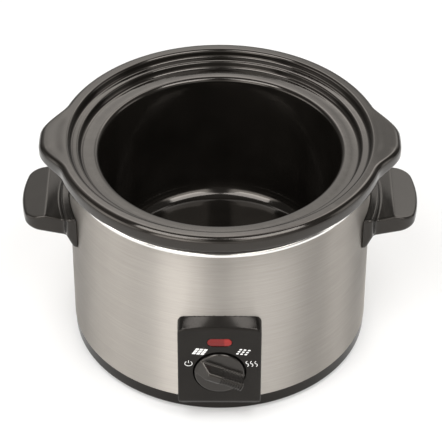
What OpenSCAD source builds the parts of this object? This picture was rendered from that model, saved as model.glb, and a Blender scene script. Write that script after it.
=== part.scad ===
// Slow cooker of about 3.5 litres: a glazed stoneware crock that lifts out of
// a heated steel housing with two side handles and a four-position knob.
// Millimetres, +Z up. The origin is on the crock's axis, on the surface that
// the feet stand on. The front, with the knob, faces -Y.

/* [Housing] */
// Outer diameter of the steel shell
body_d = 240; // [238:1:246]
// Height of the rolled ring's centre above the table
ring_z = 161.6; // [158:0.2:166]
// Thickness of the steel shell
shell_t = 0.8; // [0.6:0.1:1.0]
// Thickness of the heated liner
liner_t = 0.8; // [0.6:0.1:1.0]
// Height of the black base ring
base_h = 12; // [11:0.5:13]
// Height of the rubber feet
foot_h = 3; // [2.8:0.1:4]

/* [Crock] */
// Diameter of the crock's mouth
mouth_d = 190.6; // [188:0.2:192]
// Height of the crock's inner floor above the table
crock_floor_z = 56.5; // [56:0.5:60]
// Height from the rim's resting face to its top
rim_h = 20.2; // [18.4:0.2:22]
// Reach of each lug from the axis
lug_reach = 142.4; // [140:0.2:146]

/* [Handles] */
// Overall width across both handles
handle_span = 316; // [312:1:320]
// Height of the handle's crest above the table
handle_z = 129.5; // [126:0.5:132]
// Half-width of the handle's wing
wing_half = 34; // [32:0.5:36]

/* [Control panel] */
// Width of the control panel
panel_w = 65; // [60:1:66]
// Distance from the axis to the panel's face
panel_y = 128; // [127.5:0.5:130]
// Height of the knob's axis above the table
knob_z = 50.5; // [48:0.5:52]
// Diameter of the knob's disc
knob_d = 39; // [36:0.5:40]
// Direction that the pointer shows when switched off, in degrees
pointer_deg = 156.5; // [150:0.5:162]

/* [Hidden] */
$fn = 96;

// Housing
body_r = body_d / 2;
shell_in = body_r - shell_t;
shell_z0 = foot_h + base_h;
ring_r = 2.5;
ring_c = body_r - 1;
slack = 0.3;

// Liner and what wraps round it
liner_in = body_r - 15;
liner_out = liner_in + liner_t;
band_in = liner_out + 0.05;
liner_floor = 45;
liner_corner = 12;
flange_z = ring_z - 0.2;
band_out = band_in + 2.5;
band_z0 = 56;
band_z1 = 110;
wrap_z0 = 60;
wrap_z1 = 98;
shield_z = 30;

// Crock rim, measured from its underside
crock_z = ring_z + ring_r + slack;
crock_top = crock_z + rim_h;
rim_r = body_r + 9.8;
mouth_r = mouth_d / 2;
seat_z = crock_top - 12.6;
seat_r = 109;
step_z = crock_top - 6.6;
lug_t = 9;
lug_top = crock_top - 3.6;
rim_under = lug_top - lug_t;

// Handles
handle_r = handle_span / 2;
pad_in = body_r + 0.05;
pad_half = 42;
pad_z0 = handle_z - 24.5;
pad_z1 = handle_z + 3;
screw_y = 20;
screw_z = handle_z - 10.5;

// Base
base_r = body_r - 0.6;
base_floor = foot_h + 2.5;
foot_pcd = 104;
plate_r = 95;
plate_t = 1;
plate_top = base_floor + plate_t;

// Control panel: its profile in Y and Z
panel_z0 = shell_z0 + 1.5;
panel_z1 = panel_z0 + 79.7;
panel_back = body_r + 0.05;
panel_top_rise = 6;
panel_wall = 2;
well_r = knob_d / 2 + 0.9;
well_floor = panel_y - 4.4;
lens_z = knob_z + 30.5;
lens_w = 19;
lens_h = 7.5;
panel_screw_x = 24;
panel_screw_z = [panel_z0 + 9.5, panel_z1 - 8];

// Knob, shaft and switch; distances are along -Y from the axis
knob_r = knob_d / 2;
disc_face = panel_y + 1.8;
bar_face = panel_y + 11;
shaft_r = 3;
bushing_r = 4.5;
bushing_end = panel_y - 1.5;
switch_front = well_floor - panel_wall;
switch_back = switch_front - 11.3;
switch_half = 13;

// Lug outline: bowed edge, round corners, straight flanks and fillets into the rim
lug_bow_r = 64;
lug_corner_r = 15;
lug_corner_y = 13.5;
lug_flank_deg = 49.7;
lug_fillet_r = 14;

// Cord inlet at the rear
gland_z = 33;
gland_bore_r = 3.6;
gland_reach = body_r + 7;

// Inner parts
screw_head_t = 3;
stud_bottom = 0.8;
block_low = [-15, 66, plate_top];
block_high = [15, 80, plate_top + 11.5];
cutout_x = 35;
cutout_y = -60.6;
cutout_t = 8;
blade_r = 112.9;
blade_deg = 68;
blade_z = 52;
wire_r = 1.2;
lead_r = 0.8;

// Wire routes, each a short list of points that a smooth curve passes through
live_route = [
    [-8, 65.7, 12], [-8, 62, 12], [-20, 40, 11], [-30, 0, 11], [-22, -60, 11], [-9, -98, 13],
    [-6, -113, 19], [-6, -116, 26], [-6, -116, 29.4]
];
neutral_route = [
    [-15.3, 73, 12], [-19, 73, 12], [-30, 84, 13], [-38, 97, 20], [-42.3, 104.6, 34], [-42.3, 104.6, 51.9]
];
switched_route = [
    [6, -116, 29.4], [6, -116, 26], [7, -112, 18], [13, -98, 13], [24, -76, 14], [30, -61.5, 22],
    [30, -60.6, 29], [30, -60.6, 32.9]
];
heater_route = [
    [40, -60.6, 32.9], [40, -60.6, 29], [41, -59, 21], [52, -36, 12], [62, 0, 11], [60, 50, 11],
    [52, 84, 14], [44, 100, 23], [42.3, 104.6, 36], [42.3, 104.6, 51.9]
];
earth_route = [[8, 65.7, 12], [8, 62, 11.6], [13, 53, 9.4], [20, 50, 7.8], [24.4, 50, 7.8]];
lamp_route = [[9, -116, 66.1], [9, -116, 68], [7, -115.2, 72], [6, -115, 75], [6, -115, 76.9]];

// Points on an arc or an ellipse round c, from angle a0 to a1 in n steps
function arc(c, rx, rz, a0, a1, n = 8) =
    [for (i = [0 : n]) let (a = a0 + (a1 - a0) * i / n) [c[0] + rx * cos(a), c[1] + rz * sin(a)]];

// Lengths of vectors brought to one
function unit(v) = v / norm(v);

// A point on the smooth curve between b and c; a and d are their neighbours
function curve_point(a, b, c, d, t) =
    (2 * b + (c - a) * t + (2 * a - 5 * b + 4 * c - d) * t * t + (3 * b - a - 3 * c + d) * t * t * t) / 2;

// A route with n points for each of its stretches
function smooth_route(p, n) = let (last = len(p) - 1) concat(
    [for (i = [0 : last - 1], k = [0 : n - 1])
        curve_point(p[max(i - 1, 0)], p[i], p[i + 1], p[min(i + 2, last)], k / n)],
    [p[last]]
);

// A round wire of radius r along a route
module wire(route, r, sides = 8) {
    path = smooth_route(route, 4);
    last = len(path) - 1;
    tangents = [for (i = [0 : last]) unit(path[min(i + 1, last)] - path[max(i - 1, 0)])];
    start = unit(cross(tangents[0], [0.3, 0.2, 1]));
    normals = [for (i = 0, n = start; i <= last;
                    i = i + 1, n = i <= last ? unit(n - (n * tangents[i]) * tangents[i]) : n) n];
    points = [for (i = [0 : last], k = [0 : sides - 1])
        let (a = 360 * k / sides)
        path[i] + r * (cos(a) * normals[i] + sin(a) * cross(tangents[i], normals[i]))];
    walls = [for (i = [0 : last - 1], k = [0 : sides - 1])
        let (near = i * sides, far = near + sides, next = (k + 1) % sides)
        each [[near + k, far + k, far + next], [near + k, far + next, near + next]]];
    ends = [[for (k = [0 : sides - 1]) k], [for (k = [sides - 1 : -1 : 0]) last * sides + k]];
    polyhedron(points = points, faces = concat(walls, ends));
}

// A cylinder that lies along -Y between two distances from the axis
module along_y(r, near, far, x = 0, z = 0, sides = 48) {
    translate([x, -near, z]) rotate([90, 0, 0]) cylinder(r = r, h = far - near, $fn = sides);
}

// A cylinder that lies along +X between two distances from the axis
module along_x(r, near, far, y = 0, z = 0, sides = 48) {
    translate([near, y, z]) rotate([0, 90, 0]) cylinder(r = r, h = far - near, $fn = sides);
}

// A block between two corners
module block(low, high) {
    translate(low) cube(high - low);
}

// An upright round wall between two radii and two heights
module tube(inner, outer, z0, z1) {
    rotate_extrude($fn = 180) translate([inner, z0]) square([outer - inner, z1 - z0]);
}

// An upright disc between two heights
module disc(r, z0, z1, sides = 180) {
    translate([0, 0, z0]) cylinder(r = r, h = z1 - z0, $fn = sides);
}

// Places of the repeated fasteners and feet
module at_feet() {
    for (a = [45 : 90 : 315]) rotate(a) translate([foot_pcd, 0, 0]) children();
}

module at_panel_screws() {
    for (x = [-panel_screw_x, panel_screw_x], z = panel_screw_z) translate([x, 0, z]) children();
}

module at_handle_screws() {
    for (side = [0, 180], y = [-screw_y, screw_y]) rotate(side) translate([0, y, screw_z]) children();
}

// ---------------------------------------------------------------- shell and liner

module outer_shell() {
    color("silver") difference() {
        tube(shell_in, body_r, shell_z0, ring_z);
        // Windows behind the panel for the switch and the lamp
        block([-15, -body_r - 1, knob_z - 16], [15, -body_r + 8, knob_z + 16]);
        block([-13, -body_r - 1, lens_z - 6], [13, -body_r + 8, lens_z + 6]);
        at_panel_screws() along_y(2, body_r - 12, body_r + 2);
        at_handle_screws() along_x(2.2, body_r - 12, body_r + 2);
        rotate(180) along_y(5.2, body_r - 6, body_r + 2, z = gland_z);
    }
}

// Polished ring rolled over the top edges of the shell and the liner
module rim_ring() {
    color("white") rotate_extrude($fn = 180) difference() {
        translate([ring_c, ring_z]) circle(r = ring_r, $fn = 48);
        translate([shell_in, ring_z - ring_r - 1]) square([shell_t, ring_r + 1]);
        translate([ring_c - ring_r - 1, flange_z]) square([ring_r + 0.8, liner_t]);
    }
}

// Inner pot that carries the heat to the crock
module heating_liner() {
    corner = [liner_in - liner_corner, liner_floor + liner_corner];
    color("gainsboro") rotate_extrude($fn = 180) polygon(concat(
        [[0, liner_floor]],
        arc(corner, liner_corner, liner_corner, -90, 0),
        [[liner_in, flange_z + liner_t], [ring_c - 0.2, flange_z + liner_t]],
        [[ring_c - 0.2, flange_z], [liner_out, flange_z]],
        arc(corner, liner_corner + liner_t, liner_corner + liner_t, 0, -90),
        [[0, liner_floor - liner_t]]
    ));
}

// Mica band with its heating foil, wrapped round the liner with a gap at the rear
module heater_band() {
    color("sienna") rotate(96) rotate_extrude(angle = 348, $fn = 180)
        translate([band_in, band_z0]) square([band_out - band_in, band_z1 - band_z0]);
}

// Two angle brackets on the band's ends, drawn together by a bolt across the gap
module heater_clamp() {
    foot_y = band_out + 1.2;
    bolt_y = shell_in - 4.5;
    color("gainsboro") {
        for (side = [0, 1]) mirror([side, 0, 0]) difference() {
            union() {
                block([11, 100, 76], [22, foot_y, 90]);
                block([11, foot_y - 1, 76], [12.2, shell_in - 1.5, 90]);
            }
            disc(band_out + 0.05, 70, 96);
            along_x(1.7, 0, 40, y = bolt_y, z = 83);
        }
        along_x(1.6, -14, 14, y = bolt_y, z = 83);
        along_x(2.7, 12.2, 14.2, y = bolt_y, z = 83, sides = 6);
        along_x(2.7, -14.2, -12.2, y = bolt_y, z = 83, sides = 6);
    }
}

// Push-on blades on ceramic posts at the band's lower edge
module heater_terminals() {
    color("ivory") for (a = [blade_deg, 180 - blade_deg]) rotate(a) {
        difference() {
            block([100, -4, 62], [blade_r - 0.4, 4, 74]);
            disc(band_out + 0.05, 60, 76);
        }
        block([blade_r - 0.4, -3, blade_z], [blade_r + 0.4, 3, 72]);
    }
}

// Glass-fibre wrap between the heater and the shell, open behind the panel and at the rear
module insulation_wrap() {
    wrap_in = band_out + 0.4;
    color("khaki") for (start = [-60, 126]) rotate(start) rotate_extrude(angle = 114, $fn = 180)
        translate([wrap_in, wrap_z0]) square([shell_in - 1.5 - wrap_in, wrap_z1 - wrap_z0]);
}

// Reflector disc below the liner
module heat_shield() {
    color("gainsboro") difference() {
        disc(98, shield_z, shield_z + 0.6);
        disc(shaft_r + 0.2, shield_z - 1, shield_z + 2, 48);
        for (a = [0 : 60 : 300]) rotate(a) translate([70, 0, 0]) disc(10, shield_z - 1, shield_z + 2, 64);
    }
}

// ---------------------------------------------------------------- base

module base_ring() {
    color([0.09, 0.09, 0.09]) difference() {
        union() {
            rotate_extrude($fn = 180) polygon(concat(
                [[88, foot_h]],
                arc([base_r - 2, foot_h + 2], 2, 2, -90, 0, 6),
                [[base_r, shell_z0], [shell_in - 0.1, shell_z0], [shell_in - 0.1, shell_z0 + 7]],
                [[shell_in - 2.4, shell_z0 + 7], [base_r - 2.6, base_floor], [88, base_floor]]
            ));
            at_feet() disc(5, foot_h, foot_h + 9, 48);
        }
        at_feet() disc(1.55, foot_h - 1, foot_h + 8, 32);
        // Cooling slots between the feet
        for (a = [0 : 90 : 270], b = [-15 : 10 : 15]) rotate(a + b)
            block([100, -1.5, foot_h - 1], [111, 1.5, base_floor + 1]);
    }
}

// Steel plate that closes the base and takes the pull of the centre stud
module bottom_plate() {
    color("gainsboro") difference() {
        disc(plate_r, base_floor, plate_top);
        disc(shaft_r + 0.2, base_floor - 1, plate_top + 1, 48);
        for (a = [15 : 30 : 345]) rotate(a) {
            block([34, -1.5, base_floor - 1], [58, 1.5, plate_top + 1]);
            for (x = [34, 58]) translate([x, 0, 0]) disc(1.5, base_floor - 1, plate_top + 1, 32);
        }
    }
}

module feet() {
    color("dimgray") at_feet() difference() {
        disc(8, 0, foot_h, 64);
        disc(1.6, -1, foot_h + 1, 32);
        disc(3.2, -1, 1.6, 48);
    }
}

module foot_screws() {
    color("silver") at_feet() difference() {
        union() {
            disc(3, 0.5, 1.6, 48);
            disc(1.5, 1.6, foot_h + 7, 32);
        }
        for (a = [0, 90]) rotate(a) block([-2, -0.35, 0], [2, 0.35, 1.1]);
    }
}

// Stud below the liner that holds the base on, with its sleeves and its nut
module center_stud() {
    color("silver") disc(shaft_r, stud_bottom, liner_floor - liner_t, 48);
}

module stud_spacers() {
    color("silver") for (span = [[plate_top, shield_z], [shield_z + 0.6, liner_floor - liner_t]])
        tube(shaft_r + 0.1, 6, span[0], span[1]);
}

module stud_nut() {
    color("silver") {
        difference() {
            disc(5.8, stud_bottom + 0.3, base_floor - 1, 6);
            disc(shaft_r + 0.03, 0, base_floor, 48);
        }
        tube(shaft_r + 0.2, 8, base_floor - 1, base_floor);
    }
}

// ---------------------------------------------------------------- handles

// Side view of the wing, X across and Z up
module wing_side() {
    tip = handle_r;
    polygon(concat(
        [[pad_in - 2, handle_z - 19.5], [pad_in + 8, handle_z - 18.5], [tip - 8, handle_z - 13]],
        arc([tip - 6, handle_z - 8.6], 6, 4.4, -80, 0, 6),
        arc([tip - 5, handle_z - 5.6], 5, 4.4, 0, 82, 6),
        [[tip - 12, handle_z - 0.5]],
        arc([tip - 20, handle_z - 3], 3, 3, 80, 105, 3),
        [[pad_in + 8, handle_z - 3.1], [pad_in - 2, handle_z - 4]]
    ));
}

// Plan of the wing: straight sides, round corners and a bowed outer edge
module wing_plan() {
    corner_r = 13;
    bow_r = 90;
    rise = wing_half - corner_r;
    turn = asin(rise / (bow_r - corner_r));
    bow_c = [handle_r - bow_r, 0];
    corner_x = bow_c[0] + (bow_r - corner_r) * cos(turn);
    polygon(concat(
        [[0, -wing_half]],
        arc([corner_x, -rise], corner_r, corner_r, -90, -turn),
        arc(bow_c, bow_r, bow_r, -turn, turn, 12),
        arc([corner_x, rise], corner_r, corner_r, turn, 90),
        [[0, wing_half]]
    ));
}

// Pad that hugs the shell; its outer side leans in below the wing
module handle_pad() {
    intersection() {
        rotate_extrude($fn = 180) polygon([
            [pad_in, pad_z0], [pad_in + 2.5, pad_z0], [pad_in + 7.2, pad_z0 + 10],
            [pad_in + 7.2, pad_z1 - 1], [pad_in + 6.2, pad_z1], [pad_in, pad_z1]
        ]);
        block([0, -pad_half, pad_z0 - 1], [handle_r, pad_half, pad_z1 + 1]);
    }
}

module handle_right() {
    color([0.13, 0.13, 0.13]) difference() {
        union() {
            handle_pad();
            difference() {
                intersection() {
                    rotate([90, 0, 0]) linear_extrude(2 * wing_half + 2, center = true) wing_side();
                    translate([0, 0, pad_z0]) linear_extrude(pad_z1 - pad_z0) wing_plan();
                }
                disc(pad_in, pad_z0 - 1, pad_z1 + 1);
            }
        }
        // Finger recess below the wing
        block([pad_in + 11, -27, pad_z0], [handle_r - 6.5, 27, handle_z - 7.5]);
        for (y = [-screw_y, screw_y]) along_x(1.9, 100, pad_in + 9.5, y = y, z = screw_z);
    }
}

module handle_left() {
    mirror([1, 0, 0]) handle_right();
}

// Curved steel strips inside the shell that spread the handles' load
module handle_plates() {
    color("gainsboro") difference() {
        intersection() {
            tube(shell_in - 1.2, shell_in - 0.05, screw_z - 9, screw_z + 9);
            for (side = [0, 180]) rotate(side) block([90, -32, 0], [body_r, 32, ring_z]);
        }
        at_handle_screws() along_x(2.2, 90, body_r);
    }
}

module handle_screws() {
    head_x = shell_in - 1.2 - 1.8 - screw_head_t;
    color("silver") {
        difference() {
            at_handle_screws() along_x(3.8, head_x, body_r - 1);
            tube(shell_in - 1.25, body_r + 5, screw_z - 10, screw_z + 10);
        }
        at_handle_screws() along_x(1.8, head_x + 1, pad_in + 9);
    }
}

// ---------------------------------------------------------------- control panel

// Front view of the panel, set in by a margin: a rectangle with round corners
module panel_outline(margin) {
    r = 4.5 - margin;
    x = panel_w / 2 - margin - r;
    z0 = panel_z0 + margin + r;
    z1 = panel_z1 + panel_top_rise - margin - r;
    polygon(concat(
        arc([x, z0], r, r, -90, 0), arc([x, z1], r, r, 0, 90),
        arc([-x, z1], r, r, 90, 180), arc([-x, z0], r, r, 180, 270)
    ));
}

// Side view of the panel, set in by a margin: Y is the distance from the axis
module panel_profile(margin) {
    face = panel_y - margin;
    back = body_r - 20;
    polygon([
        [face, panel_z0 + 2.5 + margin], [face - 2, panel_z0 + margin], [back, panel_z0 + margin],
        [back, panel_z1 + panel_top_rise - margin], [body_r, panel_z1 + panel_top_rise - margin],
        [face, panel_z1 - 0.8 - margin]
    ]);
}

module panel_solid(margin) {
    intersection() {
        rotate([90, 0, 0]) linear_extrude(panel_y + 1) panel_outline(margin);
        rotate([90, 0, -90]) linear_extrude(panel_w, center = true) panel_profile(margin);
    }
}

module control_panel() {
    color([0.1, 0.1, 0.1]) difference() {
        union() {
            difference() {
                panel_solid(0);
                panel_solid(panel_wall);
            }
            intersection() {
                panel_solid(0);
                union() {
                    along_y(well_r + 1.8, switch_front, panel_y, z = knob_z, sides = 120);
                    at_panel_screws() along_y(3.8, body_r - 12, panel_y - 1);
                }
            }
        }
        disc(panel_back, 0, ring_z);
        along_y(well_r, well_floor, panel_y + 1, z = knob_z, sides = 120);
        along_y(bushing_r + 0.1, switch_front - 1, panel_y, z = knob_z);
        at_panel_screws() along_y(1.55, body_r - 12, panel_y - 2.2);
        translate([0, 0, lens_z]) rotate([90, 0, 0]) linear_extrude(panel_y + 1) lozenge(lens_w, lens_h, 0.15);
    }
}

module panel_screws() {
    head_y = body_r - 3.6 - screw_head_t;
    color("silver") {
        difference() {
            at_panel_screws() along_y(3.6, head_y, body_r);
            tube(shell_in - 0.05, body_r + 5, panel_z0, panel_z1 + 10);
        }
        at_panel_screws() along_y(1.5, head_y + 1, panel_y - 2.6);
    }
}

// A slot-shaped outline with round ends
module lozenge(w, h, grow = 0) {
    r = h / 2 + grow;
    x = (w - h) / 2;
    polygon(concat(arc([x, 0], r, r, -90, 90, 16), arc([-x, 0], r, r, 90, 270, 16)));
}

module indicator_lens() {
    color("darkred") translate([0, 0, lens_z]) rotate([90, 0, 0]) {
        translate([0, 0, panel_y - panel_wall]) linear_extrude(panel_wall + 0.4) lozenge(lens_w, lens_h);
        translate([0, 0, panel_y - panel_wall - 1.4]) linear_extrude(1.4) lozenge(lens_w, lens_h, 1.2);
    }
}

// Neon tube with a cap at each end, along X behind the lens
module indicator_lamp() {
    color("orange") {
        along_x(2.9, -8, 8, y = -body_r + 1.5, z = lens_z);
        for (side = [0, 1]) mirror([side, 0, 0]) along_x(2.4, 8, 9.5, y = -body_r + 1.5, z = lens_z);
    }
}

module lamp_holder() {
    color("white") difference() {
        block([-10, -body_r - 1.8, lens_z - 4], [10, -body_r + 6, lens_z + 4]);
        along_x(3, -11, 11, y = -body_r + 1.5, z = lens_z);
        block([-11, -body_r - 2, lens_z - 3], [11, -body_r + 1.5, lens_z + 3]);
    }
}

// Printed marks on the panel's face: standby, two grids for high and low heat,
// and three waves for keeping food warm
module panel_legend() {
    ink = 0.15;
    color("white") translate([0, 0, knob_z]) rotate([90, 0, 0]) translate([0, 0, panel_y]) linear_extrude(ink) {
        translate([-24, 9.2]) standby_mark();
        translate([-15.2, 21.6]) grid_mark(0.35);
        translate([18.4, 21.2]) grid_mark(0.8);
        translate([25, 9]) for (x = [-3.4, 0, 3.4]) translate([x, 0]) wave_mark();
    }
}

// A ring that is open at the top, with a bar in the opening
module standby_mark() {
    polygon(concat(arc([0, 0], 3.1, 2.7, 125, 415, 24), arc([0, 0], 2.6, 2.2, 415, 125, 24)));
    translate([-0.25, 0.6]) square([0.5, 2.6]);
}

// Three by three leaning cells with gaps between them
module grid_mark(gap) {
    across = [3.27, -0.4];
    up = [1.27, 2.07];
    half = 0.47 - gap / 4;
    for (i = [-1 : 1], j = [-1 : 1])
        polygon([for (s = [[-1, -1], [1, -1], [1, 1], [-1, 1]])
            (i + half * s[0]) * across + (j + half * s[1]) * up]);
}

// An upright wave of two bends
module wave_mark() {
    polygon(concat(
        arc([0, 1.3], 1.25, 1.5, 90, 270), arc([0, -1.3], 0.75, 1.1, 90, -90),
        arc([0, -1.3], 1.25, 1.6, -90, 90), arc([0, 1.3], 0.75, 1.1, 270, 90)
    ));
}

// ---------------------------------------------------------------- switch and knob

// The knob's own frame: Z outward from the axis plane, X along the pointer
module knob_frame() {
    translate([0, 0, knob_z]) rotate([90, 0, 0]) rotate(pointer_deg) children();
}

// Hollow disc with a grip bar whose pointed end ramps down to the disc's edge
module knob() {
    bar_half = 3.35;
    root_half = 6.5;
    bend_x = 9.8;
    back = well_floor + 0.5;
    ceiling = disc_face - 2.2;
    color([0.12, 0.12, 0.12]) knob_frame() difference() {
        union() {
            rotate_extrude($fn = 120) polygon(concat(
                [[0, ceiling], [knob_r - 2, ceiling], [knob_r - 2, back], [knob_r, back]],
                arc([knob_r - 1, disc_face - 1], 1, 1, 0, 90, 4),
                [[0, disc_face]]
            ));
            disc(5.5, bushing_end + 0.4, ceiling + 1, 48);
            intersection() {
                rotate([90, 0, 0]) linear_extrude(2 * knob_r, center = true) polygon([
                    [-knob_r, disc_face - 1], [-knob_r, bar_face], [bend_x, bar_face],
                    [knob_r - 1.5, disc_face], [knob_r - 1.5, disc_face - 1]
                ]);
                rotate([90, 0, 90]) linear_extrude(2 * knob_r, center = true) polygon([
                    [-root_half, disc_face - 1], [root_half, disc_face - 1], [root_half, disc_face],
                    [bar_half, bar_face], [-bar_half, bar_face], [-root_half, disc_face]
                ]);
                disc(knob_r - 0.1, disc_face - 1, bar_face + 1, 120);
            }
        }
        for (i = [0 : 7]) translate([-1.8 - 2.1 * i, 0, bar_face + 0.3]) rotate([90, 0, 0])
            cylinder(r = 0.9, h = 20, center = true, $fn = 24);
        disc(shaft_r + 0.03, bushing_end, bar_face - 2, 48);
    }
}

// Shaft with a flat on the stretch that the knob sits on
module knob_shaft() {
    color("silver") knob_frame() difference() {
        disc(shaft_r, switch_back + 1, bar_face - 2.5, 48);
        block([shaft_r - 1, -shaft_r, bushing_end + 0.2], [shaft_r + 1, shaft_r, bar_face]);
    }
}

// Cam with two lobes that presses the contacts
module switch_rotor() {
    low = switch_back + 0.4;
    high = switch_front - 2.2;
    color("ivory") knob_frame() difference() {
        union() {
            disc(6.5, low, high, 64);
            for (a = [0, 140]) rotate(a) translate([6, 0, 0]) disc(2.4, low, high, 48);
        }
        disc(shaft_r + 0.02, low - 1, high + 1, 48);
    }
}

module switch_body() {
    cavity_end = switch_front - 1.9;
    color("dimgray") difference() {
        union() {
            block([-switch_half, -switch_front, knob_z - switch_half],
                  [switch_half, -switch_back, knob_z + switch_half]);
            along_y(bushing_r, switch_front - 1, bushing_end, z = knob_z);
        }
        along_y(9.2, switch_back - 1, cavity_end, z = knob_z, sides = 64);
        along_y(shaft_r + 0.05, cavity_end - 1, bushing_end + 1, z = knob_z);
    }
}

module switch_cover() {
    color("saddlebrown") block([-switch_half, -switch_back, knob_z - switch_half],
                               [switch_half, -switch_back + 1.8, knob_z + switch_half]);
}

module switch_nut() {
    color("gold") difference() {
        along_y(7, well_floor, well_floor + 2.3, z = knob_z, sides = 6);
        along_y(bushing_r + 0.03, well_floor - 1, well_floor + 4, z = knob_z);
    }
}

module switch_terminals() {
    y0 = -116.4;
    color("gold") {
        for (x = [-6, 0, 6]) block([x - 2, y0, 29.5], [x + 2, y0 + 0.8, knob_z - switch_half]);
        for (x = [-9, 9]) block([x - 1.5, y0, knob_z + switch_half], [x + 1.5, y0 + 0.8, 66]);
    }
}

// ---------------------------------------------------------------- inner electrics

// Thermal cut-out pressed against the liner's floor, with two blades
module thermal_cutout() {
    top = liner_floor - liner_t;
    color("beige") translate([cutout_x, cutout_y, 0]) {
        disc(8, top - cutout_t, top, 64);
        for (x = [-5, 5]) block([x - 0.4, -2, 33], [x + 0.4, 2, top - cutout_t]);
    }
}

module cutout_bracket() {
    top = liner_floor - liner_t;
    low = top - cutout_t;
    color("gainsboro") translate([cutout_x, cutout_y, 0]) {
        block([-2.5, -9.2, low - 0.8], [2.5, 9.2, low]);
        for (side = [0, 1]) mirror([0, side, 0]) {
            block([-2.5, 8.4, low], [2.5, 9.2, top]);
            block([-2.5, 9.2, top - 0.8], [2.5, 14, top]);
        }
    }
}

module terminal_block() {
    color("ivory") difference() {
        block(block_low, block_high);
        for (x = [-8, 0, 8]) translate([x, 73, 0]) disc(2.6, block_high[2] - 3, block_high[2] + 1, 48);
    }
}

module terminal_screws() {
    color("gold") for (x = [-8, 0, 8]) translate([x, 73, 0]) difference() {
        disc(2.4, block_high[2] - 3, block_high[2] - 1, 48);
        block([-3, -0.4, block_high[2] - 1.8], [3, 0.4, block_high[2]]);
    }
}

module earth_terminal() {
    color("gold") translate([30, 50, plate_top]) {
        disc(5, 0, 0.8, 48);
        block([-5.5, -2, 0], [-3, 2, 2.6]);
        disc(2.8, 0.8, 2.8, 6);
    }
}

module wire_live() {
    color("brown") wire(live_route, wire_r);
}

module wire_neutral() {
    color("royalblue") wire(neutral_route, wire_r);
}

module wire_switched() {
    color("black") wire(switched_route, wire_r);
}

module wire_heater() {
    color("white") wire(heater_route, wire_r);
}

module wires_lamp() {
    color("red") for (side = [0, 1]) mirror([side, 0, 0]) wire(lamp_route, lead_r);
}

module wire_earth() {
    color("green") wire(earth_route, wire_r);
}

// Bushing that the supply cord enters through; its collar follows the shell
module cord_gland() {
    color([0.12, 0.12, 0.12]) rotate(180) difference() {
        union() {
            along_y(5, body_r - 11, gland_reach, z = gland_z);
            difference() {
                along_y(7.5, body_r - 4, body_r + 3.5, z = gland_z);
                disc(panel_back, gland_z - 9, gland_z + 9);
            }
        }
        along_y(gland_bore_r, body_r - 12, gland_reach + 1, z = gland_z);
    }
}

module gland_nut() {
    color("dimgray") rotate(180) difference() {
        intersection() {
            along_y(8.5, body_r - 5.5, body_r, z = gland_z, sides = 6);
            disc(shell_in - 0.05, gland_z - 9, gland_z + 9);
        }
        along_y(5.04, body_r - 12, body_r + 1, z = gland_z);
    }
}

// ---------------------------------------------------------------- crock

// Half section of the crock: inside up from the floor, over the rim, then outside down
module crock_section() {
    floor_r = 72;
    wall_t = 7;
    draft = 3.2;
    floor_corner = 20;
    neck_r = mouth_r + wall_t;
    belly_r = neck_r - 4.5;
    under = crock_floor_z - wall_t;
    polygon(concat(
        [[0, crock_floor_z]],
        arc([floor_r, crock_floor_z + floor_corner], floor_corner, floor_corner, -90, -3),
        arc([mouth_r + 4, seat_z - 4], 4, 4, 180, 90),
        arc([seat_r, seat_z + 2], 2, 2, -90, 0, 5),
        arc([seat_r + 3.5, step_z - 1.5], 1.5, 1.5, 180, 90, 5),
        arc([seat_r + 7.5, step_z + 2], 2, 2, -90, 0, 5),
        arc([seat_r + 12, crock_top - 2.5], 2.5, 2.5, 180, 90, 6),
        arc([rim_r - 3.5, crock_top - 4], 3.5, 4, 90, 0, 10),
        arc([rim_r - 1.6, rim_under + 1.6], 1.6, 1.6, 0, -90, 5),
        [[body_r + 4, rim_under], [body_r + 1.6, rim_under - 2], [body_r + 1.2, crock_z + 1], [body_r, crock_z]],
        [[neck_r + 2, crock_z], [neck_r, crock_z - 2]],
        arc([belly_r - 22, under + 22], 22, 22, draft, -90),
        [[75, under], [75, under - 1], [68, under - 1], [68, under], [0, under]]
    ));
}

// Plan of a lug from its bowed edge round one corner and into the rim
function lug_half(side) =
    let (
        bow_c = [lug_reach - lug_bow_r, 0],
        turn = asin(lug_corner_y / (lug_bow_r - lug_corner_r)),
        corner = [bow_c[0] + (lug_bow_r - lug_corner_r) * cos(turn), lug_corner_y],
        n = [cos(lug_flank_deg), sin(lug_flank_deg)],
        t = [-n[1], n[0]],
        d = corner * n + lug_corner_r + lug_fillet_r,
        fillet = d * n - sqrt(pow(rim_r + lug_fillet_r, 2) - d * d) * t,
        half = concat(
            arc(bow_c, lug_bow_r, lug_bow_r, 0, turn, 5),
            arc(corner, lug_corner_r, lug_corner_r, turn, lug_flank_deg, 6),
            arc(fillet, lug_fillet_r, lug_fillet_r, lug_flank_deg + 180, atan2(fillet[1], fillet[0]) + 180, 6)
        )
    )
    [for (p = half) [p[0], side * p[1]]];

function reversed(list) = [for (i = [len(list) - 1 : -1 : 0]) list[i]];

module crock() {
    color([0.16, 0.15, 0.14]) {
        rotate_extrude($fn = 180) crock_section();
        difference() {
            for (side = [0, 180]) rotate(side) translate([0, 0, rim_under]) linear_extrude(lug_t)
                polygon(concat(reversed(lug_half(1)), lug_half(-1)));
            disc(rim_r - 2.4, rim_under - 1, lug_top + 1);
        }
    }
}

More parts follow.
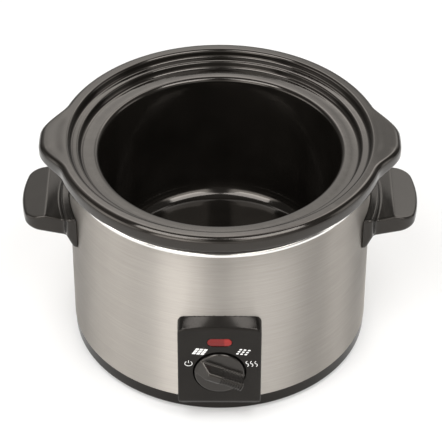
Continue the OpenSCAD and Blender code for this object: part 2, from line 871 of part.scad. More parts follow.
outer_shell();
rim_ring();
heating_liner();
heater_band();
heater_clamp();
heater_terminals();
insulation_wrap();
heat_shield();
base_ring();
bottom_plate();
feet();
foot_screws();
handle_left();
handle_right();
handle_plates();
handle_screws();
control_panel();
panel_screws();
panel_legend();
indicator_lens();
indicator_lamp();
lamp_holder();
switch_body();
switch_cover();
switch_nut();
switch_terminals();
thermal_cutout();
cutout_bracket();
terminal_block();
terminal_screws();
center_stud();
stud_spacers();
stud_nut();
cord_gland();
gland_nut();
earth_terminal();
wire_live();
wire_neutral();
wire_switched();
wire_heater();
wires_lamp();
wire_earth();
crock();
knob();
knob_shaft();
switch_rotor();
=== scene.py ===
"""A slow cooker: glazed crock, brushed steel housing, moulded handles, panel and knob.

The CAD frame is loaded first. The crock, the handles, the panel, the knob and the lens
are rebuilt here as smooth meshes in the places of their CAD nodes, and every other CAD
node keeps its shape and gets a procedural material. Lengths are millimetres until a
mesh is made; the scene itself is in metres.
"""

import math

import bmesh
import bpy
import numpy as np
import openvdb
from mathutils import Matrix, Vector


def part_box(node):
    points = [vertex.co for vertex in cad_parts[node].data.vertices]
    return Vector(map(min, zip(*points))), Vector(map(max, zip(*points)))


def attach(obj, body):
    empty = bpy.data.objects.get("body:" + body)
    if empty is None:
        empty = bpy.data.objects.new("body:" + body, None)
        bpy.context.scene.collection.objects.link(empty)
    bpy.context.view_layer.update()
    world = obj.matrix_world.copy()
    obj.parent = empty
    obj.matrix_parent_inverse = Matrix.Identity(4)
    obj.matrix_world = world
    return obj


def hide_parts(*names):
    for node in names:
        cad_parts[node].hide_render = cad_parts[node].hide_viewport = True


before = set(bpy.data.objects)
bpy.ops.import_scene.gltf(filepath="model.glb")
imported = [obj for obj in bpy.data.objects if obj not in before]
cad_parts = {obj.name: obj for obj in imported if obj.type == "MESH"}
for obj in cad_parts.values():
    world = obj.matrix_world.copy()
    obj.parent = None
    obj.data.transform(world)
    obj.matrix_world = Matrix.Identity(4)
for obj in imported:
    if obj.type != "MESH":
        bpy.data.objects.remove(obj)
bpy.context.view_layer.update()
MM = 0.001


# ------------------------------------------------------------------ places from the frame


def corners(node):
    """Lowest and highest corner of a CAD node, in millimetres."""
    low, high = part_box(node)
    return np.array(low) / MM, np.array(high) / MM


shell_low, shell_high = corners("outer_shell")
crock_low, crock_high = corners("crock")
handle_low, handle_high = corners("handle_right")
panel_low, panel_high = corners("control_panel")
lens_low, lens_high = corners("indicator_lens")
knob_low, knob_high = corners("knob")

BODY_R = shell_high[0]
CROCK_TOP = crock_high[2]
PANEL_FACE = -panel_low[1]
KNOB_R = (knob_high[0] - knob_low[0]) / 2
KNOB_Z = (knob_high[2] + knob_low[2]) / 2
LENS_Z = (lens_low[2] + lens_high[2]) / 2


# ------------------------------------------------------------------ camera


CAMERA_TARGET = (0.0009, -0.0004, 0.0988)
CAMERA_DISTANCE = 1.78
CAMERA_ELEVATION = math.radians(38.82)
CAMERA_ROLL = math.radians(0.15)


def add_camera():
    """The camera looks along +Y and down on the object's middle."""
    back = Vector((0, -math.cos(CAMERA_ELEVATION), math.sin(CAMERA_ELEVATION)))
    data = bpy.data.cameras.new("camera")
    data.sensor_width = 36
    data.lens = 179.2
    camera = bpy.data.objects.new("camera", data)
    bpy.context.scene.collection.objects.link(camera)
    camera.location = Vector(CAMERA_TARGET) + CAMERA_DISTANCE * back
    aim = (-back).to_track_quat("-Z", "Y").to_matrix().to_4x4()
    camera.rotation_euler = (aim @ Matrix.Rotation(CAMERA_ROLL, 4, "Z")).to_euler()
    bpy.context.scene.camera = camera


# ------------------------------------------------------------------ mesh helpers


def mesh_object(name, points, faces):
    """A smooth-shaded object from points in millimetres and faces."""
    mesh = bpy.data.meshes.new(name)
    mesh.from_pydata((np.asarray(points) * MM).tolist(), [], [list(map(int, f)) for f in faces])
    mesh.validate()
    mesh.polygons.foreach_set("use_smooth", [True] * len(mesh.polygons))
    piece = bpy.data.objects.new(name, mesh)
    bpy.context.scene.collection.objects.link(piece)
    return piece


def gradient(distance, points):
    """Slope of a distance function at some points."""
    step = 0.02
    slopes = []
    for axis in range(3):
        shift = np.zeros(3)
        shift[axis] = step
        ahead, behind = points + shift, points - shift
        slopes.append((distance(*ahead.T) - distance(*behind.T)) / (2 * step))
    return np.array(slopes).T


def solid_from_distance(name, distance, low, high, cell):
    """A closed mesh where distance(x, y, z) is zero, each point moved onto that surface."""
    low = np.array(low, float) - 2 * cell
    high = np.array(high, float) + 2 * cell
    counts = np.ceil((high - low) / cell).astype(int) + 1
    axes = [low[i] + cell * np.arange(counts[i]) for i in range(3)]
    x, y, z = np.meshgrid(*axes, indexing="ij")
    values = np.clip(distance(x, y, z), -3 * cell, 3 * cell).astype(np.float32)
    grid = openvdb.FloatGrid(3 * cell)
    grid.copyFromArray(values)
    points, quads = grid.convertToQuads(isovalue=0)
    points = low + cell * points.astype(float)
    for _ in range(4):
        slope = gradient(distance, points)
        length = np.maximum((slope**2).sum(1), 0.05)
        step = np.clip(distance(*points.T) / length, -cell, cell)
        points -= step[:, None] * slope
    a, b, c = points[quads[:, 0]], points[quads[:, 1]], points[quads[:, 2]]
    outward = np.einsum("ij,ij->i", np.cross(b - a, c - a), gradient(distance, a)).sum()
    if outward < 0:
        quads = quads[:, ::-1]
    return mesh_object(name, points, quads)


def blend_min(a, b, k):
    """The nearer of two distances, with a fillet of about k where they meet."""
    h = np.maximum(k - np.abs(a - b), 0) / k
    return np.minimum(a, b) - h * h * k / 4


def blend_max(a, b, k):
    """The overlap of two solids, with their shared edge rounded by about k."""
    return -blend_min(-a, -b, k)


def round_max(a, b, r):
    """The overlap of two solids, with their shared edge rounded to a radius."""
    a, b = a + r, b + r
    return np.hypot(np.maximum(a, 0), np.maximum(b, 0)) + np.minimum(np.maximum(a, b), 0) - r


def box_2d(u, v, half_u, half_v, r):
    """Distance to a rectangle with round corners."""
    return round_max(np.abs(u) - half_u, np.abs(v) - half_v, r)


def smoothstep(a, b, x):
    """A smooth rise from 0 at a to 1 at b."""
    t = np.clip((x - a) / (b - a), 0, 1)
    return t * t * (3 - 2 * t)


def arc(cx, cz, rx, rz, start, end, n):
    """Points on an arc of an ellipse between two angles in degrees."""
    a = np.radians(np.linspace(start, end, n + 1))
    return np.column_stack([cx + rx * np.cos(a), cz + rz * np.sin(a)])


def refined(path, longest):
    """The same path with its long stretches divided."""
    path = np.asarray(path, float)
    out = [path[0]]
    for p, q in zip(path[:-1], path[1:]):
        n = max(1, math.ceil(np.hypot(*(q - p)) / longest))
        out += [p + (q - p) * i / n for i in range(1, n + 1)]
    return np.array(out)


def lathe(name, sections):
    """A mesh from one closed or pole-to-pole (r, z) section for each of many angles."""
    sections = np.asarray(sections)
    turns, rows = sections.shape[:2]
    angle = 2 * math.pi * np.arange(turns) / turns
    points = np.stack(
        [
            sections[:, :, 0] * np.cos(angle)[:, None],
            sections[:, :, 0] * np.sin(angle)[:, None],
            sections[:, :, 1],
        ],
        axis=2,
    ).reshape(-1, 3)
    faces = []
    for i in range(turns):
        here, there = i * rows, (i + 1) % turns * rows
        faces += [[here + j, here + j + 1, there + j + 1, there + j] for j in range(rows - 1)]
    piece = mesh_object(name, points, faces)
    made = bmesh.new()
    made.from_mesh(piece.data)
    bmesh.ops.remove_doubles(made, verts=made.verts, dist=1e-7)
    bmesh.ops.dissolve_degenerate(made, dist=1e-8, edges=made.edges)
    bmesh.ops.recalc_face_normals(made, faces=made.faces)
    made.to_mesh(piece.data)
    made.free()
    return piece


# ------------------------------------------------------------------ crock

MOUTH_R = 95.3
RIM_R = crock_high[1]
CROWN_R = 121
SEAT_Z = CROCK_TOP - 12.6
STEP_Z = CROCK_TOP - 6.6
RIM_UNDER = CROCK_TOP - 12.6
REST_Z = CROCK_TOP - 20.2
FLOOR_Z = 56.5
FOOT_Z = FLOOR_Z - 7


def lug_reach(angle):
    """How far the rim's outline stands out at an angle: two lugs, on +X and -X."""
    from_axis = np.degrees(np.abs(np.arctan(np.tan(angle))))
    return (crock_high[0] - RIM_R) * (1 - smoothstep(3.2, 19.5, from_axis))


def crock_inside():
    """Section from the floor's centre over the mouth and the lid seat to the rim's crown."""
    return np.concatenate(
        [
            [[0, FLOOR_Z], [77, FLOOR_Z]],
            arc(77, FLOOR_Z + 15, 15, 15, -86, -3, 14),
            arc(MOUTH_R + 4, SEAT_Z - 4, 4, 4, 180, 92, 10),
            arc(108, SEAT_Z + 3, 3, 3, -86, -6, 6),
            arc(113, STEP_Z - 1.6, 2, 1.6, 176, 92, 6),
            arc(116, STEP_Z + 2.4, 2.4, 2.4, -86, -8, 5),
            arc(CROWN_R, CROCK_TOP - 2.6, 2.6, 2.6, 176, 92, 7),
        ]
    )


def crock_below():
    """Section from the rim's resting face down the outside to the foot and its centre."""
    neck = MOUTH_R + 7
    return np.concatenate(
        [
            [[neck + 3, REST_Z]],
            arc(neck + 2, REST_Z - 2, 2, 2, 90, 178, 4),
            arc(neck - 26.5, FOOT_Z + 22, 22, 22, 3.2, -88, 12),
            arc(74, FOOT_Z - 0.6, 1, 0.4, 90, -90, 3),
            arc(69, FOOT_Z - 0.6, 1, 0.4, -90, -270, 3),
            [[0, FOOT_Z]],
        ]
    )


def rim_outline(reach):
    """Section from the crown over the outer edge to the rim's resting face, for one reach."""
    edge = RIM_R + reach
    edge_r = 5
    drop = 1.3 * smoothstep(0, 12, reach)
    dish = 0.25 * smoothstep(4, 12, reach)
    share = np.linspace(0, 1, 16)
    fall = drop * share**1.5 + dish * np.sin(math.pi * share) ** 2
    top = np.column_stack([CROWN_R + share * (edge - edge_r - CROWN_R), CROCK_TOP - fall])
    skirt = [
        [BODY_R + 4, RIM_UNDER],
        [BODY_R + 1.8, RIM_UNDER - 2],
        [BODY_R + 1.2, REST_Z + 1],
        [BODY_R, REST_Z],
    ]
    return np.concatenate(
        [
            top,
            arc(edge - edge_r, CROCK_TOP - drop - edge_r, edge_r, edge_r, 84, 0, 12),
            arc(edge - 1.8, RIM_UNDER + 1.8, 1.8, 1.8, 0, -90, 6),
            skirt,
        ]
    )


def build_crock():
    """The crock, from one section for each of many angles, because the lugs change its outline."""
    turns = 480
    inside = refined(crock_inside(), 5)
    below = refined(crock_below(), 8)
    sections = []
    for i in range(turns):
        reach = float(lug_reach(2 * math.pi * i / turns))
        sections.append(np.concatenate([inside, rim_outline(reach), below]))
    crock = lathe("crock_glazed", sections)
    soften = crock.modifiers.new("soften", "SMOOTH")
    soften.factor = 0.5
    soften.iterations = 3
    crock.data.materials.append(glaze())
    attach(crock, "crock")
    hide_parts("crock")


# ------------------------------------------------------------------ handles

HANDLE_R = handle_high[0]
PAD_HALF = handle_high[1]
PAD_TOP = handle_high[2]
PAD_LOW = handle_low[2]
PAD_IN = BODY_R + 0.05
PAD_OUT = PAD_IN + 7.2
WING_HALF = 33
WING_BOW = 95
CREST_X = HANDLE_R - 20
CREST_Z = PAD_TOP - 3
RECESS_IN = PAD_IN + 11
RECESS_OUT = HANDLE_R - 6.5
RECESS_HALF = 27
RECESS_TOP = CREST_Z - 7.5


def wing_outline(x, y):
    """Plan of the wing: straight sides, round corners and a bowed outer edge."""
    bowed = np.hypot(x - HANDLE_R + WING_BOW, y) - WING_BOW
    return round_max(np.abs(y) - WING_HALF, bowed, 9)


def handle_distance(x, y, z):
    """A curved pad against the shell, a crested wing, and a finger recess below it."""
    r = np.hypot(x, y)
    lean = r - PAD_OUT + np.maximum(0, PAD_LOW + 10 - z) * 0.42
    pad = blend_max(lean, np.abs(y) - PAD_HALF, 2.5)
    pad = blend_max(pad, z - PAD_TOP, 2.2)
    pad = blend_max(pad, PAD_LOW - z, 1)
    inner = CREST_Z - 0.27 * (CREST_X - x)
    outer = CREST_Z - 0.19 * (x - CREST_X)
    top = (z - blend_min(inner, outer, 0.5)) * 0.97
    underside = (CREST_Z - 18.7 + 0.22 * (x - 128) - z) * 0.97
    plan = wing_outline(x, y)
    wing = blend_max(blend_max(top, plan, 2), underside, 3)
    whole = blend_min(pad, wing, 3)
    middle = (RECESS_IN + RECESS_OUT) / 2
    recess = box_2d(x - middle, y, (RECESS_OUT - RECESS_IN) / 2, RECESS_HALF, 5)
    recess = blend_max(recess, z - RECESS_TOP, 3)
    whole = blend_max(whole, -recess, 1.6)
    return np.maximum(whole, PAD_IN - r)


def build_handles():
    """The right handle and its mirror image on the left."""
    low = (105, -PAD_HALF - 1, PAD_LOW - 1)
    high = (HANDLE_R + 1, PAD_HALF + 1, PAD_TOP + 1)
    right = solid_from_distance("handle_right_moulded", handle_distance, low, high, 0.65)
    left = mesh_object(
        "handle_left_moulded",
        np.array([v.co for v in right.data.vertices]) * (-1, 1, 1) / MM,
        [reversed(p.vertices[:]) for p in right.data.polygons],
    )
    finish = gloss_plastic()
    for piece, node in ((right, "handle_right"), (left, "handle_left")):
        piece.data.materials.append(finish)
        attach(piece, "housing")
        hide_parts(node)


# ------------------------------------------------------------------ control panel

PANEL_WALL = 2
PANEL_CORNER = 4.5
WELL_R = KNOB_R + 0.9
WELL_FLOOR = PANEL_FACE - 4.4


def panel_shape(x, y, z, inset):
    """Outer form of the panel, set in by a distance: a box with a sloping top."""
    middle_z = (panel_low[2] + panel_high[2]) / 2
    half_z = (panel_high[2] - panel_low[2]) / 2
    outline = box_2d(x, z - middle_z, panel_high[0] - inset, half_z - inset, PANEL_CORNER - inset)
    face = -y - PANEL_FACE + inset
    steel = np.sqrt(BODY_R**2 - np.minimum(np.abs(x), 40) ** 2)
    share = (-y - steel) / (PANEL_FACE - steel)
    crown = (x / panel_high[0]) ** 2
    at_steel = panel_high[2] - 4.5 * crown
    at_face = panel_high[2] - 6.7 - 1.6 * crown
    top = (z - at_steel - share * (at_face - at_steel)) * 0.81 + inset
    chin = (-y - PANEL_FACE + 0.8 * (panel_low[2] + 2.5 - z)) / 1.28 + inset
    side = np.abs(x) - panel_high[0] + inset
    crest = round_max(side, top, PANEL_CORNER - inset)
    rim = blend_max(blend_max(outline, crest, 0.2), chin, 1.2)
    return round_max(rim, face, 1.3)


def panel_distance(x, y, z):
    """A hollow moulding with a well for the knob and a slot for the lens."""
    outer = panel_shape(x, y, z, 0)
    inner = panel_shape(x, y, z, PANEL_WALL)
    around = np.hypot(x, z - KNOB_Z)
    cup = np.maximum(around - WELL_R - 1.8, -y - PANEL_FACE)
    cup = np.maximum(cup, WELL_FLOOR - PANEL_WALL + y)
    whole = np.minimum(np.maximum(outer, -inner), np.maximum(cup, outer))
    well = np.maximum(around - WELL_R, WELL_FLOOR + y)
    whole = blend_max(whole, -well, 0.7)
    bushing = around - 4.6
    whole = np.maximum(whole, -bushing)
    slot = box_2d(x, z - LENS_Z, 9.7, 3.95, 3.9)
    whole = blend_max(whole, -slot, 0.5)
    return np.maximum(whole, PAD_IN - np.hypot(x, y))


def build_panel():
    """The panel, open at the back against the shell."""
    low = (panel_low[0], -PANEL_FACE, panel_low[2])
    high = (panel_high[0], -BODY_R + 6, panel_high[2])
    panel = solid_from_distance("control_panel_moulded", panel_distance, low, high, 0.5)
    panel.data.materials.append(satin_plastic())
    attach(panel, "housing")
    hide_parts("control_panel")


# ------------------------------------------------------------------ knob

POINTER_DEG = 156.5
KNOB_FACE = PANEL_FACE + 1.8
KNOB_CREST = -knob_low[1]
GRIP_FOOT = 6.5
GRIP_TOP = 3.35
RIB_PITCH = 2.1
RIB_FIRST = -1.0
RIB_LAST = 1.2 - KNOB_R


def knob_distance(x, y, z):
    """A disc with a ribbed grip bar; the bar's pointer end ramps down to the disc."""
    turn = math.radians(POINTER_DEG)
    u = x * math.cos(turn) + (z - KNOB_Z) * math.sin(turn)
    v = -x * math.sin(turn) + (z - KNOB_Z) * math.cos(turn)
    out = -y
    around = np.hypot(u, v)
    disc = blend_max(around - KNOB_R, out - KNOB_FACE, 1.6)
    disc = blend_max(disc, WELL_FLOOR + 0.5 - out, 0.5)
    height = out - KNOB_FACE
    grip_height = KNOB_CREST - KNOB_FACE
    flank = (np.abs(v) - GRIP_FOOT + (GRIP_FOOT - GRIP_TOP) / grip_height * height) * 0.96
    ramp_foot = KNOB_R - 1.5
    ramp_top = 9.8
    ramp = (height - grip_height * (ramp_foot - u) / (ramp_foot - ramp_top)) * 0.66
    on_grip = smoothstep(RIB_FIRST + 0.5, RIB_FIRST - 0.3, u)
    on_grip = on_grip * smoothstep(RIB_LAST - 0.3, RIB_LAST + 0.5, u)
    ribs = 0.55 * on_grip * (1 + np.cos(2 * math.pi * (u - RIB_FIRST) / RIB_PITCH))
    bar = round_max(flank, out - KNOB_CREST, 2.2) + ribs
    bar = blend_max(bar, ramp, 0.9)
    bar = blend_max(bar, around - KNOB_R + 0.1, 0.8)
    bar = np.maximum(bar, KNOB_FACE - 1 - out)
    whole = blend_min(disc, bar, 1.2)
    shell = np.maximum(around - KNOB_R + 2, out - KNOB_FACE + 2.2)
    boss = np.maximum(around - 5.5, PANEL_FACE - 1.1 - out)
    hollow = np.maximum(shell, -boss)
    whole = np.maximum(whole, -hollow)
    hole = np.maximum(around - 3.05, out - KNOB_CREST + 2)
    return np.maximum(whole, -hole)


def build_knob():
    """The knob, with its pointer at the off mark."""
    low = (-KNOB_R, knob_low[1], KNOB_Z - KNOB_R)
    high = (KNOB_R, knob_high[1], KNOB_Z + KNOB_R)
    knob = solid_from_distance("knob_moulded", knob_distance, low, high, 0.28)
    knob.data.materials.append(knob_plastic())
    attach(knob, "control_knob")
    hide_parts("knob")


# ------------------------------------------------------------------ indicator lens


def lens_distance(x, y, z):
    """A slot-shaped lens with a crowned front and a flange behind the panel."""
    front = -lens_low[1]
    crown = front - 0.012 * (x / 2) ** 2 - 0.04 * (z - LENS_Z) ** 2
    body = blend_max(box_2d(x, z - LENS_Z, 9.5, 3.75, 3.7), -y - crown, 0.7)
    flange = box_2d(x, z - LENS_Z, 10.7, 4.95, 4.9)
    flange = np.maximum(flange, -y - PANEL_FACE + PANEL_WALL)
    back = PANEL_FACE - PANEL_WALL - 1.4
    hollow = np.maximum(box_2d(x, z - LENS_Z, 8.3, 2.6, 2.5), -y - PANEL_FACE + 0.8)
    whole = np.maximum(np.minimum(body, flange), back + y)
    return np.maximum(whole, -hollow)


def build_lens():
    """The lens, which fills the panel's slot."""
    lens = solid_from_distance("indicator_lens_moulded", lens_distance, lens_low, lens_high, 0.25)
    lens.data.materials.append(red_lens())
    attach(lens, "housing")
    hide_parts("indicator_lens")


# ------------------------------------------------------------------ materials

# Tint of the highlights on the glaze and the black plastics
WARM = (1.0, 0.93, 0.86, 1)


class Finish:
    """A material under construction, with short names for the nodes that it needs."""

    def __init__(self, name, rough, metal=0.0, **sockets):
        self.material = bpy.data.materials.new(name)
        self.material.use_nodes = True
        self.tree = self.material.node_tree
        self.shader = self.tree.nodes["Principled BSDF"]
        self.shader.inputs["Roughness"].default_value = rough
        self.shader.inputs["Metallic"].default_value = metal
        for socket, value in sockets.items():
            self.shader.inputs[socket.replace("_", " ")].default_value = value
        self.place = self.node("ShaderNodeTexCoord").outputs["Object"]

    def node(self, kind, **settings):
        made = self.tree.nodes.new(kind)
        for key, value in settings.items():
            setattr(made, key, value)
        return made

    def link(self, source, target):
        self.tree.links.new(source, target)

    def scaled(self, x, y, z):
        """Object coordinates with each axis scaled."""
        mapping = self.node("ShaderNodeMapping")
        mapping.inputs["Scale"].default_value = (x, y, z)
        self.link(self.place, mapping.inputs["Vector"])
        return mapping.outputs["Vector"]

    def noise(self, vector, scale, detail=3.0, roughness=0.5):
        made = self.node("ShaderNodeTexNoise")
        made.inputs["Scale"].default_value = scale
        made.inputs["Detail"].default_value = detail
        made.inputs["Roughness"].default_value = roughness
        self.link(vector, made.inputs["Vector"])
        return made.outputs["Fac"]

    def spread(self, value, low, high, from_low=0.3, from_high=0.7):
        """A value's middle range stretched to other limits."""
        made = self.node("ShaderNodeMapRange")
        made.inputs["From Min"].default_value = from_low
        made.inputs["From Max"].default_value = from_high
        made.inputs["To Min"].default_value = low
        made.inputs["To Max"].default_value = high
        self.link(value, made.inputs["Value"])
        return made.outputs["Result"]

    def colour(self, value, dark, light, from_low=0.3, from_high=0.7):
        """Base colour between two colours, following a value."""
        ramp = self.node("ShaderNodeValToRGB")
        ramp.color_ramp.elements[0].position = from_low
        ramp.color_ramp.elements[0].color = (*dark, 1)
        ramp.color_ramp.elements[1].position = from_high
        ramp.color_ramp.elements[1].color = (*light, 1)
        self.link(value, ramp.inputs["Fac"])
        self.link(ramp.outputs["Color"], self.shader.inputs["Base Color"])

    def rough(self, value, low, high):
        """Roughness between two limits, following a value."""
        self.link(self.spread(value, low, high), self.shader.inputs["Roughness"])

    def bump(self, value, distance):
        """A bump of some height in millimetres; several bumps add up."""
        made = self.node("ShaderNodeBump")
        made.inputs["Distance"].default_value = distance * MM
        self.link(value, made.inputs["Height"])
        normal = self.shader.inputs["Normal"]
        if normal.is_linked:
            self.link(normal.links[0].from_socket, made.inputs["Normal"])
        self.link(made.outputs["Normal"], normal)


def glaze():
    """Black stoneware glaze: deep gloss, a faint ripple and a few warmer patches."""
    f = Finish("black_glaze", 0.09, IOR=1.5, Specular_Tint=WARM)
    broad = f.noise(f.place, 28)
    fine = f.noise(f.place, 900, detail=2)
    f.colour(broad, (0.0045, 0.0040, 0.0034), (0.0080, 0.0070, 0.0060))
    f.rough(broad, 0.07, 0.12)
    f.bump(f.noise(f.place, 110, detail=1), 0.05)
    f.bump(fine, 0.004)
    return f.material


def gloss_plastic():
    """Moulded black phenolic with a soft shine."""
    f = Finish("gloss_plastic", 0.2, IOR=1.5, Specular_IOR_Level=0.38, Specular_Tint=WARM)
    fine = f.noise(f.place, 2600, detail=2)
    broad = f.noise(f.place, 60)
    f.colour(broad, (0.0085, 0.0078, 0.0070), (0.0125, 0.0115, 0.0105))
    f.rough(fine, 0.17, 0.25)
    f.bump(fine, 0.006)
    f.bump(broad, 0.03)
    return f.material


def satin_plastic():
    """Spark-eroded black plastic of the panel."""
    f = Finish("satin_plastic", 0.2, IOR=1.5, Specular_IOR_Level=0.22, Specular_Tint=WARM)
    grain = f.noise(f.place, 3200, detail=3)
    broad = f.noise(f.place, 45)
    f.colour(broad, (0.0056, 0.0051, 0.0046), (0.0084, 0.0077, 0.0070))
    f.rough(grain, 0.16, 0.24)
    f.bump(grain, 0.012)
    return f.material


def knob_plastic():
    """The knob's black plastic, glossier and darker than the panel's."""
    f = Finish("knob_plastic", 0.18, IOR=1.5, Specular_IOR_Level=0.6, Specular_Tint=WARM)
    grain = f.noise(f.place, 3000, detail=3)
    broad = f.noise(f.place, 70)
    f.colour(broad, (0.0028, 0.0026, 0.0024), (0.0045, 0.0041, 0.0038))
    f.rough(grain, 0.14, 0.21)
    f.bump(grain, 0.008)
    return f.material


def red_lens():
    """Dark red lens, brighter at its right end where the lamp's cap shows through."""
    f = Finish("red_lens", 0.2, IOR=1.49, Specular_IOR_Level=0.3)
    split = f.node("ShaderNodeSeparateXYZ")
    f.link(f.place, split.inputs["Vector"])
    facets = f.node("ShaderNodeTexWave", wave_type="BANDS", bands_direction="X")
    facets.inputs["Scale"].default_value = 320
    facets.inputs["Distortion"].default_value = 0.6
    f.link(f.place, facets.inputs["Vector"])
    lit_end = f.spread(split.outputs["X"], 0, 1, 3.2 * MM, 4.2 * MM)
    f.colour(lit_end, (0.14, 0.010, 0.009), (0.24, 0.018, 0.015), 0, 1)
    f.rough(f.noise(f.place, 1500), 0.14, 0.24)
    f.bump(facets.outputs["Fac"], 0.05)
    return f.material


def brushed_steel():
    """Steel brushed round the axis: fine horizontal grain and soft broader streaks."""
    f = Finish("brushed_steel", 0.46, metal=1.0, Anisotropic=0.96, Anisotropic_Rotation=0.25)
    tangent = f.node("ShaderNodeTangent", direction_type="RADIAL", axis="Z")
    f.link(tangent.outputs["Tangent"], f.shader.inputs["Tangent"])
    grain = f.noise(f.scaled(55, 55, 2400), 1, detail=3, roughness=0.6)
    streak = f.noise(f.scaled(9, 9, 900), 1, detail=3)
    mottle = f.noise(f.place, 55)
    both = f.node("ShaderNodeMath", operation="ADD")
    f.link(f.spread(grain, -0.08, 0.08), both.inputs[0])
    f.link(f.spread(streak, 0.44, 0.56), both.inputs[1])
    f.colour(both.outputs["Value"], (0.320, 0.301, 0.278), (0.434, 0.407, 0.377))
    f.rough(mottle, 0.44, 0.49)
    f.bump(grain, 0.01)
    return f.material


def polished_steel():
    """The rim ring's bright rolled steel."""
    f = Finish("polished_steel", 0.2, metal=1.0)
    streak = f.noise(f.scaled(8, 8, 900), 1, detail=3)
    f.colour(streak, (0.80, 0.79, 0.77), (0.90, 0.89, 0.87))
    f.rough(streak, 0.10, 0.2)
    f.bump(f.noise(f.place, 160), 0.02)
    return f.material


def metal(name, dark, light, rough, streak_scale=(600, 600, 40)):
    """A plated, spun or rolled metal with fine marks along one axis."""
    f = Finish(name, rough, metal=1.0)
    marks = f.noise(f.scaled(*streak_scale), 1, detail=3)
    f.colour(marks, dark, light)
    f.rough(f.noise(f.place, 90), rough - 0.06, rough + 0.08)
    f.bump(marks, 0.01)
    return f.material


def plain(name, dark, light, rough, grain=1500.0, bump=0.01, **sockets):
    """A moulded, cast or coated surface with a fine grain and slight changes of tone."""
    f = Finish(name, rough, **sockets)
    fine = f.noise(f.place, grain, detail=3)
    f.colour(f.noise(f.place, 60), dark, light)
    f.rough(fine, rough - 0.06, rough + 0.08)
    f.bump(fine, bump)
    return f.material


def fibre():
    """Glass-fibre wrap: tangled strands."""
    f = Finish("fibre", 0.9, Sheen_Weight=0.4)
    strands = f.noise(f.scaled(120, 120, 900), 1, detail=5, roughness=0.7)
    f.colour(strands, (0.62, 0.56, 0.40), (0.86, 0.81, 0.66))
    f.rough(strands, 0.82, 0.96)
    f.bump(strands, 0.25)
    return f.material


def dress_cad_nodes():
    """Every CAD node that stays visible or hidden inside gets its material."""
    black = satin_plastic()
    plated = metal("plated_steel", (0.52, 0.52, 0.50), (0.70, 0.70, 0.68), 0.3)
    liner = metal("liner_metal", (0.36, 0.36, 0.355), (0.48, 0.48, 0.47), 0.36, (60, 60, 900))
    brass = metal("brass_parts", (0.60, 0.43, 0.16), (0.78, 0.60, 0.27), 0.28)
    ceramic = plain("ceramic_white", (0.74, 0.70, 0.62), (0.86, 0.83, 0.76), 0.6)
    white = plain("white_plastic", (0.74, 0.72, 0.67), (0.84, 0.82, 0.78), 0.42)
    brown = plain("switch_plastic", (0.07, 0.045, 0.03), (0.14, 0.09, 0.06), 0.5)
    rubber = plain("rubber_feet", (0.018, 0.018, 0.018), (0.035, 0.035, 0.034), 0.75, 900.0, 0.04)
    ink = plain("white_ink", (0.70, 0.70, 0.69), (0.86, 0.86, 0.85), 0.5, 2500.0)
    mica = plain("mica_band", (0.22, 0.14, 0.08), (0.42, 0.30, 0.19), 0.55, 500.0, 0.05)
    clear = {"Transmission_Weight": 0.6}
    glass = plain("lamp_glass", (0.80, 0.55, 0.36), (0.92, 0.70, 0.50), 0.08, 400.0, **clear)
    finishes = {
        "outer_shell": brushed_steel(),
        "rim_ring": polished_steel(),
        "heating_liner": liner,
        "heat_shield": liner,
        "heater_band": mica,
        "insulation_wrap": fibre(),
        "base_ring": black,
        "cord_gland": black,
        "gland_nut": black,
        "feet": rubber,
        "panel_legend": ink,
        "indicator_lamp": glass,
    }
    for node in ("heater_terminals", "thermal_cutout"):
        finishes[node] = ceramic
    for node in ("lamp_holder", "terminal_block", "switch_rotor"):
        finishes[node] = white
    for node in ("switch_body", "switch_cover"):
        finishes[node] = brown
    for node in ("switch_nut", "switch_terminals", "terminal_screws", "earth_terminal"):
        finishes[node] = brass
    wires = {
        "wire_live": (0.25, 0.11, 0.05),
        "wire_neutral": (0.06, 0.15, 0.50),
        "wire_switched": (0.025, 0.025, 0.025),
        "wire_heater": (0.72, 0.72, 0.70),
        "wires_lamp": (0.50, 0.04, 0.04),
        "wire_earth": (0.22, 0.42, 0.08),
    }
    for node, tone in wires.items():
        light = tuple(min(1.0, c * 1.3) for c in tone)
        finishes[node] = plain(node + "_sheath", tone, light, 0.4, 2000.0)
    for name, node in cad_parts.items():
        finish = finishes.get(name, plated)
        for place in node.material_slots:
            place.material = finish


# ------------------------------------------------------------------ studio


def add_floor():
    """A wide pale floor."""
    half = 6000
    edge = [[-half, -half, 0], [half, -half, 0], [half, half, 0], [-half, half, 0]]
    floor = mesh_object("floor", edge, [[0, 1, 2, 3]])
    paper = Finish("floor_paper", 0.9, Specular_IOR_Level=0.0)
    paper.shader.inputs["Emission Color"].default_value = (1, 1, 1, 1)
    paper.shader.inputs["Emission Strength"].default_value = 0.31
    paper.colour(paper.noise(paper.place, 3), (0.49, 0.49, 0.49), (0.51, 0.51, 0.51))
    floor.data.materials.append(paper.material)


# The screens' brightness by azimuth in degrees: 0 in front, + to the right, 180 behind
LOW_RING = (
    (-180, 0.4), (-126, 0.0), (-108, 0.3), (-92, 2.4), (-72, 3.3), (-58, 2.0), (-46, 0.3),
    (-37, 4.2), (-24, 4.6), (-12, 2.2), (0, 0.7), (14, 1.3), (46, 0.5), (60, 0.2), (70, 0.0),
    (84, 1.9), (96, 1.9), (106, 0.0), (180, 0.4),
)
REAR_CARD = (
    (-180, 4.6), (-170, 4.7), (-163, 3.0), (-155, 1.2), (-140, 0.5), (-122, 0.0), (128, 0.0),
    (140, 2.6), (152, 5.6), (160, 4.4), (168, 2.2), (174, 2.6), (180, 4.6),
)
FRONT_CARDS = (
    (-180, 0.0), (-70, 0.0), (-58, 3.6), (-16, 3.6), (-9, 0.0),
    (9, 0.0), (16, 3.6), (58, 3.6), (70, 0.0), (180, 0.0),
)
BRIGHTEST = 8

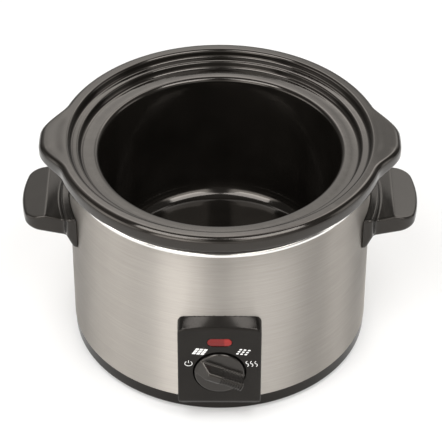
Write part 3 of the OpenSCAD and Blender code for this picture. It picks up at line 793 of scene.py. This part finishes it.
# The share of that brightness by elevation in degrees
RING_RISE = ((-30, 0), (-8, 1), (22, 1), (34, 0))
REAR_RISE = ((14, 0), (28, 0.35), (36.5, 0.5), (42, 1), (58, 1), (68, 0))
FRONT_RISE = ((34, 0), (40, 1), (54, 1), (60, 0))
HAZE = 0.16


def add_softbox(name, location, target, size, power):
    """A square area light that faces a target; places and size are in metres."""
    data = bpy.data.lights.new(name, "AREA")
    data.shape = "SQUARE"
    data.size = size
    data.energy = power
    light = bpy.data.objects.new(name, data)
    bpy.context.scene.collection.objects.link(light)
    light.location = location
    light.rotation_euler = (Vector(target) - Vector(location)).to_track_quat("-Z", "Y").to_euler()


def add_studio():
    """A dim tent with a low ring of screens, cards behind and in front, and two softboxes."""
    world = bpy.data.worlds.new("studio")
    bpy.context.scene.world = world
    world.use_nodes = True
    tree = world.node_tree
    tree.nodes.clear()
    link = tree.links.new

    def node(kind, **settings):
        made = tree.nodes.new(kind)
        for key, value in settings.items():
            setattr(made, key, value)
        return made

    def math_node(operation, first, second):
        made = node("ShaderNodeMath", operation=operation)
        for value, socket in ((first, made.inputs[0]), (second, made.inputs[1])):
            if isinstance(value, (int, float)):
                socket.default_value = value
            else:
                link(value, socket)
        return made.outputs["Value"]

    def levels(value, stops, brightest):
        """A brightness that follows a value between 0 and 1."""
        made = node("ShaderNodeValToRGB")
        made.color_ramp.interpolation = "EASE"
        for i, (position, level) in enumerate(stops):
            stop = made.color_ramp.elements[i] if i < 2 else made.color_ramp.elements.new(position)
            stop.position = position
            stop.color = (level / brightest, level / brightest, level / brightest, 1)
        link(value, made.inputs["Fac"])
        return math_node("MULTIPLY", made.outputs["Color"], brightest)

    split = node("ShaderNodeSeparateXYZ")
    link(node("ShaderNodeTexCoord").outputs["Generated"], split.inputs["Vector"])
    turn = math_node("ARCTAN2", split.outputs["X"], math_node("MULTIPLY", split.outputs["Y"], -1))
    share = math_node("ADD", math_node("DIVIDE", turn, 2 * math.pi), 0.5)
    height = math_node("ADD", math_node("MULTIPLY", split.outputs["Z"], 0.5), 0.5)

    def screen(around, rise):
        """A band of light: levels by azimuth times levels by elevation."""
        turns = [((degrees + 180) / 360, level) for degrees, level in around]
        rises = [((1 + math.sin(math.radians(degrees))) / 2, level) for degrees, level in rise]
        by_turn = levels(share, turns, BRIGHTEST)
        by_rise = levels(height, rises, 1)
        return math_node("MULTIPLY", by_turn, by_rise)

    low_ring = screen(LOW_RING, RING_RISE)
    rear_card = screen(REAR_CARD, REAR_RISE)
    front_cards = screen(FRONT_CARDS, FRONT_RISE)
    cards = math_node("ADD", rear_card, front_cards)
    total = math_node("ADD", math_node("ADD", low_ring, cards), HAZE)
    glow = node("ShaderNodeBackground")
    glow.inputs["Color"].default_value = (1, 0.975, 0.94, 1)
    link(total, glow.inputs["Strength"])
    white = node("ShaderNodeBackground")
    path = node("ShaderNodeLightPath")
    white.inputs["Color"].default_value = (1, 1, 1, 1)
    choose = node("ShaderNodeMixShader")
    link(path.outputs["Is Camera Ray"], choose.inputs["Fac"])
    link(glow.outputs["Background"], choose.inputs[1])
    link(white.outputs["Background"], choose.inputs[2])
    link(choose.outputs["Shader"], node("ShaderNodeOutputWorld").inputs["Surface"])

    # Two softboxes above the front with a gap between them
    for side in (-1, 1):
        place = (0.5 * side, -0.45, 1.35)
        target = (0.42 * side, -0.35, 0.1)
        add_softbox(f"softbox_{side}", place, target, 0.7, 11)
    bpy.context.scene.view_settings.view_transform = "Standard"


# ------------------------------------------------------------------ build

add_camera()
add_studio()
add_floor()
dress_cad_nodes()
build_crock()
build_handles()
build_panel()
build_knob()
build_lens()
